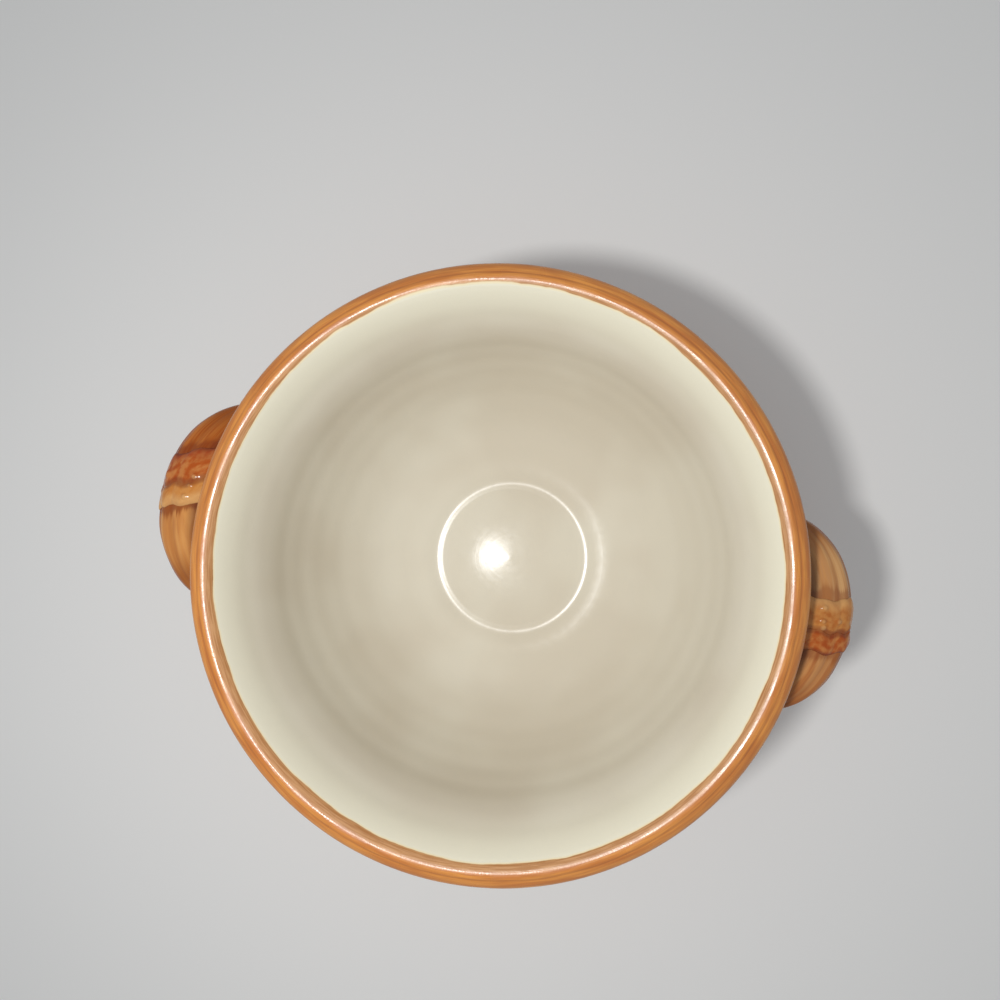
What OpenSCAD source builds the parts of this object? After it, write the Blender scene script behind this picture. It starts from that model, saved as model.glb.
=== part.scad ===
// Onion soup crock: a stoneware bowl with a rolled rim, a cream glaze inside,
// a caramel glaze outside and two lugs shaped like a tied bundle of stalks.
// Millimetres, +Z up. The origin is the centre of the face that the foot rests on,
// and +X runs along the lugs, out through the right-hand one.

/* [Overall] */
// Outside diameter of the rolled rim
rim_dia = 130; // [115:1:145]
// Height from the table to the top of the rim
height = 72; // [64:1:84]

/* [Bowl] */
// Thickness of the clay wall
wall_thick = 4.6; // [3.5:0.1:6]
// Thickness of the clay at the heel, where the wall turns in to the foot
heel_thick = 7.6; // [6:0.2:9]
// Thickness of the clay floor at its thinnest, above the foot ring
floor_thick = 7; // [5:0.25:9]
// Thickness of the glaze on either side of the clay
glaze_thick = 0.5; // [0.3:0.05:0.8]

/* [Rim roll] */
// Width of the rolled rim, seen from above
rim_width = 5.1; // [4.4:0.1:6.4]
// Height of the rolled rim, from its top to the seat on the wall
rim_height = 7; // [6:0.25:9]
// How far the rim's lower edge stands out over the glaze below it
rim_overhang = 0.3; // [0:0.1:0.6]

/* [Foot ring] */
// Outside diameter of the foot ring
foot_dia = 77; // [66:1:84]
// Height of the foot ring
foot_height = 5.5; // [4:0.25:6]
// Thickness of the foot ring where it joins the bowl
foot_thick = 6; // [4.5:0.25:8]
// Bevel on both lower edges of the foot ring
foot_bevel = 1; // [0.5:0.1:1.5]

/* [Handle lugs] */
// How far the middle of a lug stands out from the wall
lug_reach = 19.5; // [12:0.25:24]
// Length of a lug from tip to tip, along the wall
lug_length = 46; // [36:0.5:52]
// Height of a lug where it joins the wall
lug_height = 15; // [11:0.5:18]
// Gap on the wall between the rim's lower edge and the top of a lug
lug_below_rim = 1.5; // [1:0.25:8]
// Rise of a lug's outer edge above the middle of its root
lug_lift = 0.8; // [0:0.1:4.5]
// Angle by which each lug sits forward of the diameter
lug_forward_angle = 3; // [0:0.5:6]
// Number of stalks that show on a lug from top to bottom
stalk_count = 7; // [4:1:8]
// Depth of the furrows between the stalks
stalk_furrow = 0.6; // [0.2:0.05:0.8]

/* [Tie around each lug] */
// Width of the tie, along the lug's outer edge
tie_width = 12.4; // [8:0.2:16]
// Thickness of the tie at its two rolls
tie_roll = 0.8; // [0.6:0.1:1.8]
// Thickness of the tie at its edges and in the groove between the rolls
tie_groove = 0.45; // [0.3:0.05:0.7]

/* [Slip joint behind each lug] */
// Width of slip that shows round a lug
slip_margin = 0.9; // [0.4:0.1:1.4]
// Clearance between the slip and the back of a lug
slip_gap = 0.03; // [0.01:0.01:0.1]

/* [Hidden] */

round_fn = 180;
curve_steps = 3;
rim_steps = 3;
lug_points = 33;
lug_tip_steps = 12;
tie_steps = 12;
slip_points = 32;

rim_r = rim_dia / 2;
mouth_r = rim_r - rim_width;
foot_r = foot_dia / 2;
seat_z = height - rim_height;
inside_depth = height - foot_height - floor_thick - glaze_thick;
lug_z = seat_z - lug_below_rim - lug_height / 2;
// Reach of the squares and prisms that trim other shapes, past the whole crock
overrun = rim_dia + height;

// Inside of the bowl, from the paint edge to the middle of the floor:
// share of the mouth radius, share of the inside depth
inside_shares = [[1.00, 0.016], [0.985, 0.042], [0.967, 0.083], [0.935, 0.17], [0.895, 0.29],
                 [0.87, 0.43], [0.828, 0.58], [0.751, 0.755], [0.635, 0.893], [0.504, 0.962],
                 [0.396, 0.989], [0.36, 0.998], [0.331, 1.0], [0.297, 0.9988], [0.168, 0.99],
                 [0, 0.9856]];
// The outer wall follows those points from the mouth down to the heel:
// share of the heel's extra thickness at each
swell_shares = [0, 0, 0, 0, 0, 0.05, 0.2, 0.55, 1];
// Where the outer wall draws in above the foot:
// share of the wall thickness outwards, share of the foot height upwards
ankle_shares = [0.25, 0.5];
// Rim surface, from the paint edge over the crest to its lower edge:
// share of the rim width inwards, share of the rim height downwards
rim_shares = [[0.902, 0.067], [0.784, 0.023], [0.696, 0.006], [0.608, 0], [0.549, 0.006],
              [0.45, 0.033], [0.333, 0.057], [0.108, 0.171], [0.006, 0.29], [0, 0.357],
              [0.006, 0.424], [0.049, 0.686], [0.15, 0.89]];
// Outline of a lug from above: powers of the fall from its middle to its tips
lug_fall_shares = [2.2, 0.6];
// Height of a lug towards its tips: powers of the fall
lug_thin_shares = [2.4, 0.5];
// Squareness of a lug's cross-section, where 1 is an ellipse
lug_square_share = 0.82;
// How far along a lug its tip is cut square
lug_tip_share = 0.985;
// How much of a lug's reach the tie draws in
tie_draw_share = 0.03;
// Where the groove between the tie's rolls lies, from 0 in its middle to -1 at its edge
tie_groove_share = -0.2;

// A point on the smooth curve from b to c, with a and d as their neighbours
function smooth(a, b, c, d, t) =
    0.5 * (2 * b + (c - a) * t + (2 * a - 5 * b + 4 * c - d) * t * t
           + (3 * b - a - 3 * c + d) * t * t * t);

// A smooth curve through a list of points
function smooth_curve(points, steps) =
    let (last = len(points) - 1)
    concat([for (i = [0 : last - 1]) for (k = [0 : steps - 1])
            smooth(points[max(i - 1, 0)], points[i], points[i + 1],
                   points[min(i + 2, last)], k / steps)],
           [points[last]]);

// The outward direction at a point of a curve that runs from the mouth downwards
function outward(points, i) =
    let (run = points[min(i + 1, len(points) - 1)] - points[max(i - 1, 0)])
    [-run[1], run[0]] / norm(run);

// The same curve, moved outwards by a thickness
function thicken(points, thickness) =
    [for (i = [0 : len(points) - 1])
     let (p = points[i] + thickness * outward(points, i))
     [points[i][0] == 0 ? 0 : p[0], p[1]]];

function reversed(list) = [for (i = [len(list) - 1 : -1 : 0]) list[i]];

inside_points = [for (s = inside_shares) [s[0] * mouth_r, height - s[1] * inside_depth]];
liner_face = smooth_curve(inside_points, curve_steps);
clay_inside = thicken(liner_face, glaze_thick);

wall_points = [for (i = [0 : len(swell_shares) - 1])
               let (swell = swell_shares[i] * (heel_thick - wall_thick))
               inside_points[i] + (glaze_thick + wall_thick + swell) * outward(inside_points, i)];
ankle_point = [foot_r + ankle_shares[0] * wall_thick, foot_height * (1 + ankle_shares[1])];
outside_points = concat(wall_points, [ankle_point, [foot_r, foot_height]]);
clay_outside = smooth_curve(outside_points, curve_steps);
glaze_outside = thicken(clay_outside, glaze_thick);

// Radius of the glazed outside at a height
outside_table = [for (p = reversed(glaze_outside)) [p[1], p[0]]];
function outside_r(z) = lookup(z, outside_table);

rim_points = concat([inside_points[0]],
                    [for (s = rim_shares) [rim_r - s[0] * rim_width, height - s[1] * rim_height]],
                    [[outside_r(seat_z) + rim_overhang, seat_z]]);
rim_face = smooth_curve(rim_points, rim_steps);

// Reach and height of a lug, from its middle (0) to its tips (1 and -1)
function lug_fall(u) = pow(1 - pow(abs(u), lug_fall_shares[0]), lug_fall_shares[1]);
function lug_thin(u) = pow(1 - pow(abs(u), lug_thin_shares[0]), lug_thin_shares[1]);
function squarish(value) = sign(value) * pow(abs(value), lug_square_share);

// Stations along a lug, as angles about the bowl's axis. The tie's are among them,
// so that its inner face is the lug's own surface.
lug_half_angle = asin(lug_length / 2 / outside_r(lug_z));
lug_tip_angle = lug_half_angle * lug_tip_share;
tie_half_angle = asin(tie_width / 2 / (outside_r(lug_z) + lug_reach));
tie_angles = [for (i = [0 : tie_steps]) tie_half_angle * (2 * i / tie_steps - 1)];
tip_angles = [for (i = [1 : lug_tip_steps])
              tie_half_angle + (lug_tip_angle - tie_half_angle) * i / lug_tip_steps];
lug_angles = concat([for (a = reversed(tip_angles)) -a], tie_angles, tip_angles);

// A lug's cross-section lies in a plane through the bowl's axis. It turns from 90
// degrees at its top root, round the nose, to -90 degrees at its bottom root.
lug_turns = [for (k = [0 : lug_points - 1]) 90 - 180 * k / (lug_points - 1)];

function root_z(angle, turn) =
    lug_z + lug_height / 2 * lug_thin(angle / lug_half_angle) * squarish(sin(turn));
function root_point(angle, turn) =
    let (z = root_z(angle, turn))
    [outside_r(z) + slip_gap, z];

// 1 in the middle of the tie, 0 at its edges and beyond
function tie_hold(angle) = max(0, 1 - pow(angle / tie_half_angle, 2));

function lug_point(angle, turn) =
    let (fall = lug_fall(angle / lug_half_angle),
         nose = squarish(cos(turn)),
         root = root_point(angle, turn),
         reach = lug_reach * fall * (1 - tie_draw_share * tie_hold(angle)),
         furrow = stalk_furrow * fall * (1 - tie_hold(angle)) * (1 + cos(2 * stalk_count * turn)) / 2)
    root + nose * [reach, lug_lift * fall] - furrow * [cos(turn), sin(turn)];

// Thickness of the tie: two rolls with a groove between them
function tie_thick(angle) =
    let (from_groove = angle / tie_half_angle - tie_groove_share,
         roll_width = from_groove > 0 ? 1 - tie_groove_share : 1 + tie_groove_share)
    tie_groove + (tie_roll - tie_groove) * sqrt(abs(sin(180 * from_groove / roll_width)));
function tie_point(angle, turn) =
    let (p = lug_point(angle, turn) + tie_thick(angle) * [cos(turn), sin(turn)])
    [max(p[0], outside_r(p[1]) + slip_gap), p[1]];

lug_sections = [for (a = lug_angles)
                concat([for (t = lug_turns) lug_point(a, t)],
                       [for (k = [lug_points - 2 : -1 : 1]) root_point(a, lug_turns[k])])];
tie_sections = [for (a = tie_angles)
                concat([for (t = lug_turns) tie_point(a, t)],
                       [for (t = reversed(lug_turns)) lug_point(a, t)])];

// Faces that close a ring from its first point on. Each joins a step of the ring's
// first half to the same step of its second half, so a hollow ring stays hollow.
function end_faces(size) =
    [for (k = [0 : size / 2 - 2])
     for (face = [[k, k + 1, size - 2 - k], [k, size - 2 - k, size - 1 - k]]) face];

// Faces of a skin over rings that all have the same number of points
function skin_faces(rings, size) =
    concat(end_faces(size),
           [for (i = [0 : rings - 2]) for (k = [0 : size - 1])
            [i * size + k, (i + 1) * size + k, (i + 1) * size + (k + 1) % size]],
           [for (i = [0 : rings - 2]) for (k = [0 : size - 1])
            [i * size + k, (i + 1) * size + (k + 1) % size, i * size + (k + 1) % size]],
           [for (face = end_faces(size)) [for (k = reversed(face)) (rings - 1) * size + k]]);

// A solid through sections that stand at angles about the bowl's axis
module swept_round(sections, angles) {
    points = [for (i = [0 : len(angles) - 1]) for (p = sections[i])
              [p[0] * cos(angles[i]), p[0] * sin(angles[i]), p[1]]];
    polyhedron(points, skin_faces(len(angles), len(sections[0])), convexity = 6);
}

// The clay from the floor to above the seat, cut through the axis
module clay_section() {
    polygon(concat(clay_inside, [[0, foot_height]], reversed(clay_outside)));
}

// The coat on the outside of the clay, cut through the axis
module coat_section() {
    polygon(concat(clay_outside, reversed(glaze_outside)));
}

// The hollow of the bowl up to the paint edge, cut through the axis
module hollow_section() {
    polygon(concat([liner_face[0]], clay_inside, [[0, liner_face[0][1]]]));
}

module below_seat() {
    difference() {
        children();
        translate([0, seat_z]) square(overrun);
    }
}

// A prism along +X whose outline is a lug's root with its margin of slip
module root_prism() {
    half_length = lug_length / 2 + slip_margin;
    half_height = lug_height / 2 + slip_margin;
    outline = [for (i = [0 : slip_points - 1])
               let (a = 360 * i / slip_points)
               [half_length * sign(cos(a)) * pow(abs(cos(a)), 2 / lug_thin_shares[0]),
                lug_z + half_height * sin(a)]];
    rotate([90, 0, 90]) linear_extrude(overrun) polygon(outline);
}

// Puts a part of the right-hand lug at its place on the wall
module on_right() {
    rotate([0, 0, lug_forward_angle]) children();
}

module on_left() {
    mirror([1, 0, 0]) on_right() children();
}

// The whole coat on the outside, up to the rim's seat
module coat_solid() {
    rotate_extrude($fn = round_fn) below_seat() coat_section();
}

// The paste behind a lug fills the opening that the lug's root leaves in the coat
module slip_solid() {
    intersection() {
        coat_solid();
        root_prism();
    }
}

// Fired clay shell: the wall, the floor and the seat for the rim
module bowl_body() {
    color("burlywood") rotate_extrude($fn = round_fn) below_seat() clay_section();
}

// Bare turned ring that the crock stands on
module foot_ring() {
    inner_r = foot_r - foot_thick;
    color("tan") rotate_extrude($fn = round_fn) polygon([
        [inner_r, foot_height],
        [inner_r, foot_bevel],
        [inner_r + foot_bevel, 0],
        [foot_r - foot_bevel, 0],
        [foot_r, foot_bevel],
        [foot_r, foot_height]]);
}

// Rolled rim, with a fine groove outside its crest
module rim_roll() {
    color("peru") rotate_extrude($fn = round_fn) difference() {
        polygon(concat(rim_face, [[mouth_r / 2, seat_z], [mouth_r / 2, rim_face[0][1]]]));
        hollow_section();
    }
}

// Cream coat on the inside, up to the paint edge
module liner_glaze() {
    color("ivory") rotate_extrude($fn = round_fn)
        polygon(concat(liner_face, reversed(clay_inside)));
}

// Caramel coat on the outside, open where the lugs are joined to the clay
module outer_glaze() {
    color("chocolate") difference() {
        coat_solid();
        on_right() root_prism();
        on_left() root_prism();
    }
}

module left_handle() {
    color("sandybrown") on_left() swept_round(lug_sections, lug_angles);
}

module right_handle() {
    color("sandybrown") on_right() swept_round(lug_sections, lug_angles);
}

module left_handle_tie() {
    color("sienna") on_left() swept_round(tie_sections, tie_angles);
}

module right_handle_tie() {
    color("sienna") on_right() swept_round(tie_sections, tie_angles);
}

module left_handle_slip() {
    color("saddlebrown") on_left() slip_solid();
}

module right_handle_slip() {
    color("saddlebrown") on_right() slip_solid();
}

bowl_body();
foot_ring();
rim_roll();
liner_glaze();
outer_glaze();
left_handle();
right_handle();
left_handle_tie();
right_handle_tie();
left_handle_slip();
right_handle_slip();
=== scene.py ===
# %% [markdown]
# # An onion soup crock in glazed stoneware
#
# This lesson dresses a round soup crock that a CAD model holds at its true size: a clay
# shell, a turned foot, a rolled rim, a cream coat inside, a caramel coat outside and two
# lugs shaped like tied bundles of stalks. The CAD solids give the places. Here each of
# them gets the softer shape and the finish that a potter's hands and the kiln leave.
#
# The frame is loaded first. Its box is kept.

import math
from collections import namedtuple

import bmesh
import bpy
from mathutils import Matrix, Vector, noise


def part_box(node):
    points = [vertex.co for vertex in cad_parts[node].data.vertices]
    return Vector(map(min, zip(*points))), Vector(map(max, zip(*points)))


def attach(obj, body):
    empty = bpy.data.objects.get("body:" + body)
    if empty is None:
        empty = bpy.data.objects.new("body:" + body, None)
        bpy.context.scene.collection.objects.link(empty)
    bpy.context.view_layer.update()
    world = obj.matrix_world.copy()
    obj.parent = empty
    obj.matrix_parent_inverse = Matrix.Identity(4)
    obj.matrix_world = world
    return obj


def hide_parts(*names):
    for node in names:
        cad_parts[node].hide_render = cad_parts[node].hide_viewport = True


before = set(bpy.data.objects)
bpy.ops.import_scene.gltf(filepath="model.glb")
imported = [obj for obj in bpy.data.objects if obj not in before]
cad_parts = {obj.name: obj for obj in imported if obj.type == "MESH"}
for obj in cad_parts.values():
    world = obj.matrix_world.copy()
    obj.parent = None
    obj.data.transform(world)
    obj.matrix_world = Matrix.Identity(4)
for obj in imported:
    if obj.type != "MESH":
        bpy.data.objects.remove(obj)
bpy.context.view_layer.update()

# %% [markdown]
# ## Measures
#
# Blender works in metres and a potter in millimetres, so one name converts between them.
# What the CAD nodes can tell is read from their boxes. The rest, such as the thickness of
# a coat, repeats the CAD source's own dimensions.

# %% Read the sizes from the frame
mm = 0.001


def top_of(node):
    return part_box(node)[1].z


def bottom_of(node):
    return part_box(node)[0].z


def radius_of(node):
    low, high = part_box(node)
    return (high.y - low.y) / 2


rim_r = radius_of("rim_roll")
rim_top = top_of("rim_roll")
seat_z = bottom_of("rim_roll")
rim_height = rim_top - seat_z
foot_r = radius_of("foot_ring")
foot_height = top_of("foot_ring")
print("rim radius", round(rim_r / mm, 2), "rim top", round(rim_top / mm, 2))
print("seat of the rim", round(seat_z / mm, 2), "foot radius", round(foot_r / mm, 2))

# %% The sizes that boxes cannot tell
wall_thick = 4.6 * mm
heel_thick = 7.6 * mm
floor_thick = 7.0 * mm
glaze_thick = 0.5 * mm
rim_width = 5.1 * mm
rim_overhang = 0.3 * mm
foot_thick = 6.0 * mm
foot_bevel = 1.0 * mm
mouth_r = rim_r - rim_width
inside_depth = rim_top - foot_height - floor_thick - glaze_thick
print("mouth radius", round(mouth_r / mm, 2), "inside depth", round(inside_depth / mm, 2))

# %% [markdown]
# ## The camera
#
# The photograph was taken by hand from straight above, with a wide phone lens close to
# the rim, so near things look larger than far ones. The camera stands where that lens
# was: a little to the right of the bowl's axis and above the middle of the picture, and
# the lugs' axis is turned about eleven degrees clockwise. It is made first, because every
# later choice is judged through it.

# %% Stand the camera where the lens was
photo_size = 1000
photo_focal_pixels = 751
sensor_width = 36
camera_place = Vector((14.3, 16.0, 225.6)) * mm
camera_turns = (0.85, 5.38, 10.75)
nearest_seen = 10 * mm

lens = bpy.data.cameras.new("phone_lens")
lens.sensor_width = sensor_width
lens.lens = sensor_width * photo_focal_pixels / photo_size
lens.clip_start = nearest_seen
camera = bpy.data.objects.new("phone_camera", lens)
camera.location = camera_place
camera.rotation_mode = "YXZ"
camera.rotation_euler = [math.radians(turn) for turn in camera_turns]
bpy.context.scene.collection.objects.link(camera)
bpy.context.scene.camera = camera
print("lens", round(lens.lens, 2), "mm, above the rim", round((camera_place.z - rim_top) / mm), "mm")

# %% [markdown]
# ## Curves through a few points
#
# A pot's outline is one sweep of the potter's rib, so it is written as a few points and
# a smooth curve through them. Each stretch leaves a point in the direction of its two
# neighbours, which is the same rule that the CAD source follows, so both outlines agree.

# %% Draw a smooth curve


def smooth_curve(points, steps):
    """A smooth curve through the points, with so many steps from each to the next."""
    points = [Vector(p) for p in points]
    curve = []
    for i in range(len(points) - 1):
        a, b, c = points[max(i - 1, 0)], points[i], points[i + 1]
        d = points[min(i + 2, len(points) - 1)]
        for k in range(steps):
            t = k / steps
            curve.append(0.5 * (2 * b + (c - a) * t + (2 * a - 5 * b + 4 * c - d) * t * t
                                + (3 * b - a - 3 * c + d) * t ** 3))
    curve.append(points[-1])
    return curve


def outward(points, i):
    """The direction out of the clay at a point of a curve that runs down from the mouth."""
    run = points[min(i + 1, len(points) - 1)] - points[max(i - 1, 0)]
    return Vector((-run.y, run.x)).normalized()


def thicken(points, thickness):
    """The same curve moved outwards, with its end kept on the axis if it starts there."""
    moved = [p + thickness * outward(points, i) for i, p in enumerate(points)]
    return [Vector((0, m.y)) if p.x == 0 else m for p, m in zip(points, moved)]


# %% The crock's outlines
curve_steps = 8
# Each pair is a share of the mouth's radius and a share of the inside depth.
inside_shares = [(1.00, 0.016), (0.985, 0.042), (0.967, 0.083), (0.935, 0.17), (0.895, 0.29),
                 (0.87, 0.43), (0.828, 0.58), (0.751, 0.755), (0.635, 0.893), (0.504, 0.962),
                 (0.396, 0.989), (0.36, 0.998), (0.331, 1.0), (0.297, 0.9988), (0.168, 0.99),
                 (0, 0.9856)]
swell_shares = [0, 0, 0, 0, 0, 0.05, 0.2, 0.55, 1]
ankle_out_share = 0.25
ankle_up_share = 0.5

inside_points = [Vector((r * mouth_r, rim_top - d * inside_depth)) for r, d in inside_shares]
inside_curve = smooth_curve(inside_points, curve_steps)

outside_points = []
for i, swell in enumerate(swell_shares):
    thickness = glaze_thick + wall_thick + swell * (heel_thick - wall_thick)
    outside_points.append(inside_points[i] + thickness * outward(inside_points, i))
ankle = Vector((foot_r + ankle_out_share * wall_thick, foot_height * (1 + ankle_up_share)))
outside_points += [ankle, Vector((foot_r, foot_height))]
outside_curve = smooth_curve(outside_points, curve_steps)


def radius_at(curve, z):
    """The radius of a falling curve at a height."""
    for upper, lower in zip(curve, curve[1:]):
        if lower.y <= z <= upper.y:
            share = (z - lower.y) / (upper.y - lower.y)
            return lower.x + share * (upper.x - lower.x)
    return curve[-1].x


coat_curve = thicken(outside_curve, glaze_thick)
print("outline points inside", len(inside_curve), "outside", len(outside_curve))

# %% [markdown]
# ## Turning on the wheel
#
# Everything round on the crock was turned, so it is made the same way here: an outline
# through one side of the clay is spun about the bowl's axis. `bmesh.ops.spin` with
# `use_merge` closes the ring. Points on the axis come out many times over, so doubles are
# merged afterwards, and then the faces are told which way is out.

# %% A piece from a mesh in the making
def finished_piece(name, bm, sharp_degrees=40):
    """Makes an object of the mesh, shaded smoothly except over its sharp edges."""
    mesh = bpy.data.meshes.new(name)
    bm.to_mesh(mesh)
    bm.free()
    mesh.shade_smooth()
    mesh.set_sharp_from_angle(angle=math.radians(sharp_degrees))
    piece = bpy.data.objects.new(name, mesh)
    bpy.context.scene.collection.objects.link(piece)
    print(name, len(mesh.polygons), "faces")
    return piece


# %% Spin an outline about the bowl's axis
wheel_steps = 192
merge_distance = 0.001 * mm


def turned(outline):
    """A closed solid of revolution through an outline of radius and height."""
    bm = bmesh.new()
    ring = [bm.verts.new((p.x, 0, p.y)) for p in outline]
    for a, b in zip(ring, ring[1:] + ring[:1]):
        if a.co.x > 0 or b.co.x > 0:
            bm.edges.new((a, b))
    bmesh.ops.spin(bm, geom=bm.verts[:] + bm.edges[:], cent=(0, 0, 0), axis=(0, 0, 1),
                   dvec=(0, 0, 0), angle=2 * math.pi, steps=wheel_steps, use_merge=True)
    bmesh.ops.remove_doubles(bm, verts=bm.verts[:], dist=merge_distance)
    bmesh.ops.recalc_face_normals(bm, faces=bm.faces[:])
    return bm


def below(curve, z):
    """The part of a falling curve below a height, starting exactly on it."""
    return [Vector((radius_at(curve, z), z))] + [p for p in curve if p.y < z]


def above(curve, z):
    """The part of a falling curve above a height, ending exactly on it."""
    return [p for p in curve if p.y > z] + [Vector((radius_at(curve, z), z))]


# %% [markdown]
# ## Throwing lines
#
# Fingers leave soft rings in the clay as the wall rises. They are far too shallow to see
# as shapes, but they bend the reflections, so each round outline gets a trace of them.
# The waves follow the length along the curve and stop where the floor begins, which was
# pressed smooth. A smaller wave out of step with the first keeps them from looking machined.

# %% Finger rings along a curve
small_wave_share = 0.4
small_wave_pace = 5.1


def with_finger_rings(curve, depth, pitch, still_end):
    """The curve with soft waves along its length, except on a still length at its end."""
    along = [0.0]
    for a, b in zip(curve, curve[1:]):
        along.append(along[-1] + (b - a).length)
    waved = []
    for i, p in enumerate(curve):
        fade = min(1, along[i] / pitch, max(0, along[-1] - still_end - along[i]) / pitch)
        wave = math.sin(2 * math.pi * along[i] / pitch)
        small_wave = small_wave_share * math.sin(small_wave_pace * along[i] / pitch)
        waved.append(p + depth * fade * (wave + small_wave) * outward(curve, i))
    return waved


inner_face = with_finger_rings(inside_curve, depth=0.03 * mm, pitch=7.5 * mm, still_end=34 * mm)
clay_inside = thicken(inside_curve, glaze_thick)
print("throwing rings on", len(inner_face), "points")

# %% [markdown]
# ## The cream coat inside
#
# The cream glaze was poured in, swilled round and poured out. It is a skin half a
# millimetre thick, closed on both sides, and its upper edge meets the painted rim.

# %% Turn the liner
liner = finished_piece("liner", turned(inner_face + clay_inside[::-1]))
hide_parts("liner_glaze")
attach(liner, "root")

# %% [markdown]
# ## The rolled rim
#
# The rim was folded over and pressed smooth under a wet cloth, with a fine groove drawn
# just outside its crest. The groove catches a thin line of light all round in the
# photograph, so it is in the outline itself and not painted on. Under the roll the rim
# sits flat on the wall.

# %% Turn the rim
# Each pair is a share of the rim's width, from its outside, and of its height, from its top.
rim_shares = [(0.902, 0.067), (0.784, 0.023), (0.696, 0.006), (0.608, 0), (0.549, 0.006),
              (0.506, 0.02), (0.47, 0.031), (0.422, 0.034), (0.333, 0.057), (0.216, 0.104),
              (0.108, 0.171), (0.035, 0.25), (0.006, 0.307), (0, 0.357), (0.006, 0.407),
              (0.02, 0.529), (0.049, 0.686), (0.108, 0.829), (0.196, 0.936)]
rim_curve_steps = 5
lower_lip = Vector((radius_at(coat_curve, seat_z) + rim_overhang, seat_z))
rim_points = [inner_face[0]]
rim_points += [Vector((rim_r - x * rim_width, rim_top - y * rim_height)) for x, y in rim_shares]
rim_points.append(lower_lip)
rim_face = smooth_curve(rim_points, rim_curve_steps)
rim_back = above(clay_inside, seat_z)

rim = finished_piece("rim", turned(rim_face + rim_back[::-1]), sharp_degrees=60)
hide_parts("rim_roll")
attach(rim, "root")

# %% [markdown]
# ## The clay under the glaze
#
# The clay itself shows only underneath, inside the foot, where the potter cut the base
# with a turning tool. The tool leaves a shallow spiral. The base is spun flat, and then
# its points are lifted along a spiral in code, because a spin alone gives only circles.

# %% Turn the clay
recess_r = foot_r - foot_thick
base_ring_count = 110
base_line = [Vector((recess_r * i / base_ring_count, foot_height))
             for i in range(base_ring_count + 1)]
base_line.append(Vector((foot_r, foot_height)))
clay_outside = below(outside_curve, seat_z)
clay_mesh = turned(below(clay_inside, seat_z) + base_line + clay_outside[:0:-1])

# %% Cut the spiral of the turning tool
spiral_pitch = 2.6 * mm
spiral_depth = 0.22 * mm
base_tolerance = 0.01 * mm
corner_margin = 0.1 * mm
for v in clay_mesh.verts:
    r = math.hypot(v.co.x, v.co.y)
    if abs(v.co.z - foot_height) < base_tolerance and r < recess_r - corner_margin:
        turn = math.atan2(v.co.y, v.co.x)
        fade = min(1, (recess_r - r) / spiral_pitch)
        v.co.z += spiral_depth * fade * (0.5 + 0.5 * math.cos(2 * math.pi * r / spiral_pitch - turn))
clay = finished_piece("clay_shell", clay_mesh)
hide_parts("bowl_body")
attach(clay, "root")

# %% [markdown]
# ## The foot
#
# The ring that the crock stands on was turned from the same clay when it was leather
# hard, wiped clean of glaze and bevelled on both lower edges, so that it doesn't chip.
# The ring is spun with square corners, and the bevel comes after, on just those edges
# that are sharp.

# %% Turn the foot ring
square_corners = [(recess_r, foot_height), (recess_r, 0), (foot_r, 0), (foot_r, foot_height)]
foot_mesh = turned([Vector(corner) for corner in square_corners])
sharp_angle = math.radians(60)
lower_edges = [e for e in foot_mesh.edges
               if e.calc_face_angle() > sharp_angle and max(v.co.z for v in e.verts) < foot_bevel]
bmesh.ops.bevel(foot_mesh, geom=lower_edges, offset=foot_bevel, offset_type="OFFSET", segments=6,
                profile=0.5, affect="EDGES", material=-1)
foot = finished_piece("foot", foot_mesh)
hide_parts("foot_ring")
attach(foot, "root")

# %% [markdown]
# ## The caramel coat outside
#
# The outside was dipped up to the foot. Glaze creeps a little and ends in a rounded
# edge where the wet sponge took it off the foot, so the outline closes in a half round
# instead of a sharp lip.

# %% Turn the outer coat
coat_face = with_finger_rings(below(coat_curve, seat_z), depth=0.05 * mm, pitch=6.5 * mm, still_end=0)
coat_end_shares = (0.9, 0.7, 0.5, 0.3, 0.1)
coat_sag = 0.3 * glaze_thick
coat_end = [Vector((foot_r + glaze_thick * share, foot_height - coat_sag * math.sin(math.pi * share)))
            for share in coat_end_shares]
coat_outline = coat_face + coat_end + clay_outside[::-1]
coat = finished_piece("outer_coat", turned(coat_outline), sharp_degrees=60)
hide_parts("outer_glaze")
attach(coat, "root")

# %% [markdown]
# ## The two lugs
#
# Each lug is a bundle of stalks, pressed in a mould and luted to the wall. Its section
# through the bowl's axis is a blunt nose on a flat root, and it sweeps round the wall
# while it falls away to nothing at both tips. A circle swept with `spin` gives the mesh.
# Each point remembers in a layer how far round the section it is, and its angle about
# the axis says how far along. From these two numbers code moves it to its place, much as
# sculpting would, but with every step named.

# %% The lug's sizes
lug_height = 15 * mm
lug_below_rim = 1.5 * mm
lug_lift = 0.8 * mm
stalk_count = 7
stalk_furrow = 0.42 * mm
furrow_sharpness = 0.75
stalk_lump = 0.25 * mm
stalk_drift_degrees = 3.5
section_bluntness = 0.82
root_power = 2.4
root_gap = 0.03 * mm
longest_reach = 19.2 * mm
tie_width = 12.4 * mm
tie_groove_at = -0.2
tie_widening = 0.3
pressed_furrow_share = 0.6
waist_share = 0.03

lug_z = seat_z - lug_below_rim - lug_height / 2
wall_r = radius_at(coat_curve, lug_z)
tie_half_angle = math.degrees(math.asin(tie_width / 2 / (wall_r + longest_reach)))
print("wall radius at the lugs", round(wall_r / mm, 1), "tie half angle", round(tie_half_angle, 1))

# %% [markdown]
# Pressed and set by hand, the two lugs aren't twins. In the photograph the left one is
# longer, stands out further and leans towards its lower tip. Each strap crosses its
# bundle at a slant, which is the angle by which it is ahead where it meets the wall.

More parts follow.
